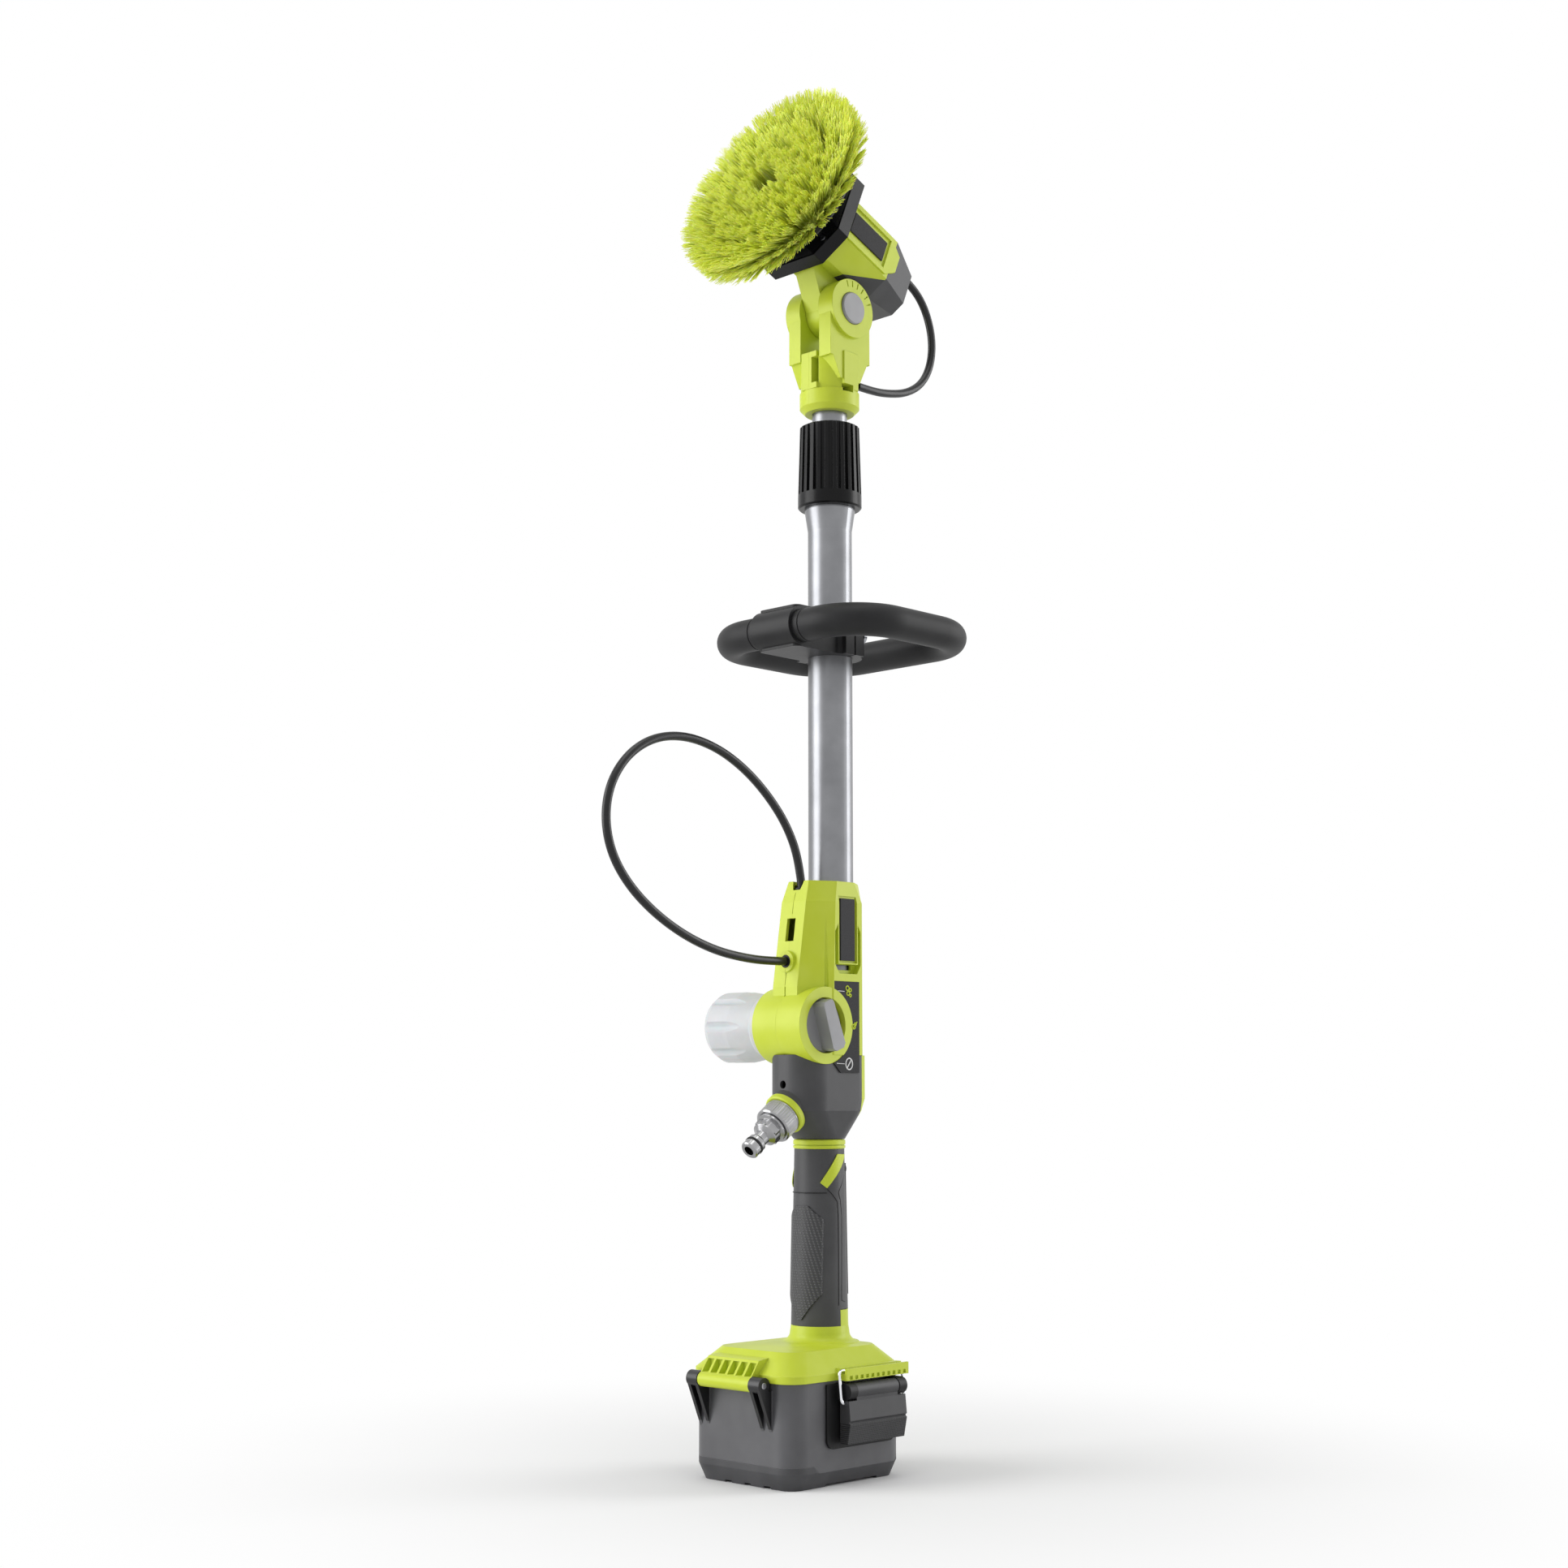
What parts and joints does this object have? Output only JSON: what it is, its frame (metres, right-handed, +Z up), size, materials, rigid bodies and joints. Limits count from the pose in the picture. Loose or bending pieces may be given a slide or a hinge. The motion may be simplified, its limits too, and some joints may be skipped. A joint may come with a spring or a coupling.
{
  "type": "telescopic pole scrubber",
  "caption": "Pole scrubber with a tilting powered brush head, telescopic tube, loop handle, soap bottle, mixing dial, hose tail, grip trigger and hinged battery box.",
  "frame": {"origin": "on the floor, under the pole's axis, at the foot of the battery box", "axes": "+Z up the pole, -Y the side that the brush, the hose tail and the box hinge look to, +X the side with the mixing dial, the latch and the tilt button"},
  "size_m": [0.158, 0.3023, 0.9252],
  "materials": {
    "lime_plastic": "fine satin moulded",
    "dark_grey_plastic": "fine grained moulded",
    "mid_grey_plastic": "satin moulded",
    "black_plastic": "satin moulded",
    "black_rubber": "matt",
    "textured_rubber": "dotted, matt",
    "anodised_tube": "satin anodised",
    "bright_steel": "polished plate",
    "steel": "plain",
    "clear_bottle": "frosted translucent",
    "printed_plate": "printed film",
    "lime_bristle": "nylon filament in tufts",
    "cable_jacket": "smooth",
    "brass": "machined",
    "acetal": "machined",
    "battery_case": "moulded case over metal cells"
  },
  "bodies": {
    "frame": {"outer_tube": "anodised_tube", "tube_collet": "acetal", "housing_left": "lime_plastic", "housing_right": "lime_plastic", "dial_plate": "printed_plate", "name_plate": "printed_plate", "mixing_valve": "brass", "lower_cover": "dark_grey_plastic", "inlet_ring": "lime_plastic", "hose_nipple": "bright_steel", "nipple_seal": "black_rubber", "handle_ring": "lime_plastic", "handle_front_shell": "dark_grey_plastic", "handle_back_shell": "dark_grey_plastic", "grip_pad": "textured_rubber", "trigger_switch": "black_plastic", "trigger_spring": "steel", "box_lid": "lime_plastic", "lid_gasket": "black_rubber", "terminal_block": "black_plastic", "loop_cable": "cable_jacket", "cable_grommets": "black_rubber"},
    "trigger": {"trigger": "black_plastic"},
    "dial": {"valve_dial": "mid_grey_plastic"},
    "bottle": {"soap_bottle": "clear_bottle"},
    "coupling": {"coupling_nut": "bright_steel"},
    "box": {"battery_tub": "dark_grey_plastic", "box_boot": "black_rubber", "hinge_pin": "bright_steel", "latch_base": "black_plastic", "battery_pack": "battery_case"},
    "lever": {"latch_lever": "dark_grey_plastic"},
    "bail": {"latch_bail": "bright_steel"},
    "assist": {"loop_handle": "black_rubber", "clamp_front": "black_plastic", "clamp_back": "black_plastic", "clamp_bolts": "steel"},
    "pole": {"inner_tube": "anodised_tube", "slide_bush": "acetal", "neck_left": "lime_plastic", "neck_right": "lime_plastic", "pivot_sleeve": "steel", "tilt_spring": "steel", "head_cable": "cable_jacket"},
    "lock": {"lock_collar": "black_plastic"},
    "button": {"tilt_button": "mid_grey_plastic"},
    "head": {"tilt_lug": "lime_plastic", "head_shell_left": "lime_plastic", "head_shell_right": "lime_plastic", "head_rear_cover": "dark_grey_plastic", "gear_cover": "black_plastic", "cover_screws": "steel", "motor_can": "steel", "spindle_bearing": "steel"},
    "brush": {"brush_plate": "black_plastic", "outer_bristles": "lime_bristle", "inner_bristles": "lime_bristle", "spindle": "steel", "drive_gear": "acetal"},
    "rotor": {"motor_rotor": "steel"}
  },
  "joints": [
    {"name": "trigger_squeeze", "type": "hinge", "parent": "frame", "child": "trigger", "pos_m": [0, -0.0006, 0.1924], "axis": [-1, 0, 0], "range_deg": [0, 2.5], "stiffness_Nm_per_rad": 2, "springref_deg": -3.44, "deforming": ["trigger_spring"]},
    {"name": "dial_turn", "type": "hinge", "parent": "frame", "child": "dial", "pos_m": [0, -0.028, 0.285], "axis": [1, 0, 0], "range_deg": [0, 140]},
    {"name": "bottle_unscrew", "type": "hinge", "parent": "frame", "child": "bottle", "pos_m": [0, -0.028, 0.285], "axis": [-1, 0, 0], "range_deg": [0, 100]},
    {"name": "coupling_spin", "type": "hinge", "parent": "frame", "child": "coupling", "pos_m": [0, -0.0425, 0.2295], "axis": [0, -0.8141, -0.5807], "continuous": true},
    {"name": "box_swing", "type": "hinge", "parent": "frame", "child": "box", "pos_m": [0, -0.0915, 0.0632], "axis": [-1, 0, 0], "range_deg": [0, 100]},
    {"name": "lever_throw", "type": "hinge", "parent": "box", "child": "lever", "pos_m": [0.0522, -0.018, 0.0576], "axis": [0, -1, 0], "range_deg": [0, 100]},
    {"name": "bail_swing", "type": "hinge", "parent": "lever", "child": "bail", "pos_m": [0.0522, -0.018, 0.0506], "axis": [0, 1, 0], "range_deg": [0, 160]},
    {"name": "assist_slide", "type": "slide", "parent": "frame", "child": "assist", "axis": [0, 0, 1], "range_m": [-0.09, 0.055]},
    {"name": "telescope", "type": "slide", "parent": "frame", "child": "pole", "axis": [0, 0, 1], "range_m": [0, 0.32]},
    {"name": "lock_turn", "type": "hinge", "parent": "frame", "child": "lock", "pos_m": [0, 0, 0.666], "axis": [0, 0, 1], "range_deg": [0, 90]},
    {"name": "button_press", "type": "slide", "parent": "pole", "child": "button", "axis": [-1, 0, 0], "range_m": [0, 0.003], "stiffness_N_per_m": 800, "springref_m": -0.003, "deforming": ["tilt_spring"]},
    {"name": "head_tilt", "type": "hinge", "parent": "pole", "child": "head", "pos_m": [0, 0, 0.775], "axis": [1, 0, 0], "range_deg": [-67.5, 22.5], "deforming": ["head_cable"]},
    {"name": "brush_spin", "type": "hinge", "parent": "head", "child": "brush", "pos_m": [0, 0.01913, 0.82119], "axis": [0, -0.9239, 0.3827], "continuous": true},
    {"name": "rotor_spin", "type": "hinge", "parent": "head", "child": "rotor", "pos_m": [0, 0.01454, 0.81011], "axis": [0, -0.9239, 0.3827], "continuous": true}
  ],
  "couplings": [
    {"joint": "lever_throw", "follows": "box_swing", "ratio": 1},
    {"joint": "bail_swing", "follows": "box_swing", "ratio": 1.6},
    {"joint": "rotor_spin", "follows": "brush_spin", "ratio": -4}
  ]
}
